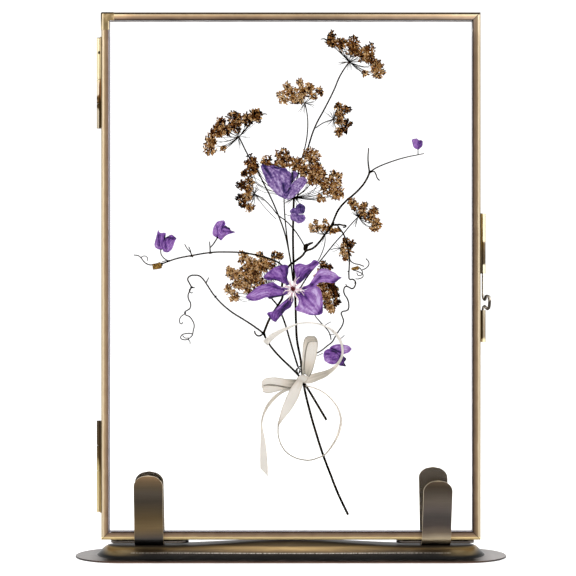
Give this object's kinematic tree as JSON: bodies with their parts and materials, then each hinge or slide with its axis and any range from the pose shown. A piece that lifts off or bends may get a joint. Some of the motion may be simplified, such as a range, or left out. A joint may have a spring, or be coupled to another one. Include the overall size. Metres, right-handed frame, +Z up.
{
  "type": "pressed flower frame",
  "caption": "Brass frame with a pressed bouquet between its hinged glass panes, held upright by spring clips on an oval brass stand.",
  "frame": {"origin": "on the ground, under the middle of the stand", "axes": "+Z up, +X to the right seen from the front, the front pane faces -Y"},
  "size_m": [0.251, 0.053, 0.3169],
  "materials": {
    "frame_brass": "antique satin",
    "bright_brass": "polished, slightly worn",
    "dark_brass": "dark antique, semi-gloss",
    "soldered_brass": "matte, mottled with solder",
    "pane_glass": "clear",
    "dried_umbels": "dry, matte",
    "dried_vines": "dry, matte",
    "pressed_petals": "dry, matte, ribbed",
    "flower_heart": "dry, matte",
    "satin_ribbon": "satin weave"
  },
  "bodies": {
    "frame_on_stand": {"front_bar_bottom": "frame_brass", "front_bar_left": "frame_brass", "front_bar_top": "frame_brass", "front_bar_right": "frame_brass", "back_bar_bottom": "frame_brass", "back_bar_left": "frame_brass", "back_bar_top": "frame_brass", "back_bar_right": "frame_brass", "front_glass": "pane_glass", "back_glass": "pane_glass", "front_corner_strap": "soldered_brass", "hinge_upper_front_leaf": "bright_brass", "hinge_upper_back_leaf": "bright_brass", "hinge_upper_pin": "bright_brass", "hinge_lower_front_leaf": "bright_brass", "hinge_lower_back_leaf": "bright_brass", "hinge_lower_pin": "bright_brass", "latch_guide_barrel": "bright_brass", "latch_keeper_barrel": "bright_brass", "stand_base": "dark_brass", "clip_left": "dark_brass", "clip_right": "dark_brass", "carrot_main_spray": "dried_umbels", "carrot_spray_a": "dried_umbels", "carrot_spray_b": "dried_umbels", "carrot_spray_c": "dried_umbels", "carrot_spray_d": "dried_umbels", "carrot_spray_k": "dried_umbels", "carrot_spray_f": "dried_umbels", "carrot_spray_g": "dried_umbels", "carrot_spray_h": "dried_umbels", "carrot_spray_i": "dried_umbels", "carrot_spray_j": "dried_umbels", "vine_lower": "dried_vines", "vine_upper": "dried_vines", "vine_tendril": "dried_vines", "vine_arch": "dried_vines", "half_clematis_stalk": "dried_vines", "clematis_tepal_top_left": "pressed_petals", "clematis_tepal_top_right": "pressed_petals", "clematis_tepal_right": "pressed_petals", "clematis_tepal_bottom_right": "pressed_petals", "clematis_tepal_bottom": "pressed_petals", "clematis_tepal_left": "pressed_petals", "half_clematis_tepal_left": "pressed_petals", "half_clematis_tepal_middle": "pressed_petals", "half_clematis_tepal_right": "pressed_petals", "small_flower_centre": "pressed_petals", "small_flower_left": "pressed_petals", "small_flower_upper_left": "pressed_petals", "small_flower_right": "pressed_petals", "small_flower_lower_right": "pressed_petals", "clematis_heart": "flower_heart", "satin_ribbon": "satin_ribbon"},
    "latch_bolt": {"latch_pin": "bright_brass"}
  },
  "joints": [
    {"name": "latch_slide", "type": "slide", "parent": "frame_on_stand", "child": "latch_bolt", "axis": [0, 0, 1], "range_m": [0, 0.0105]}
  ]
}
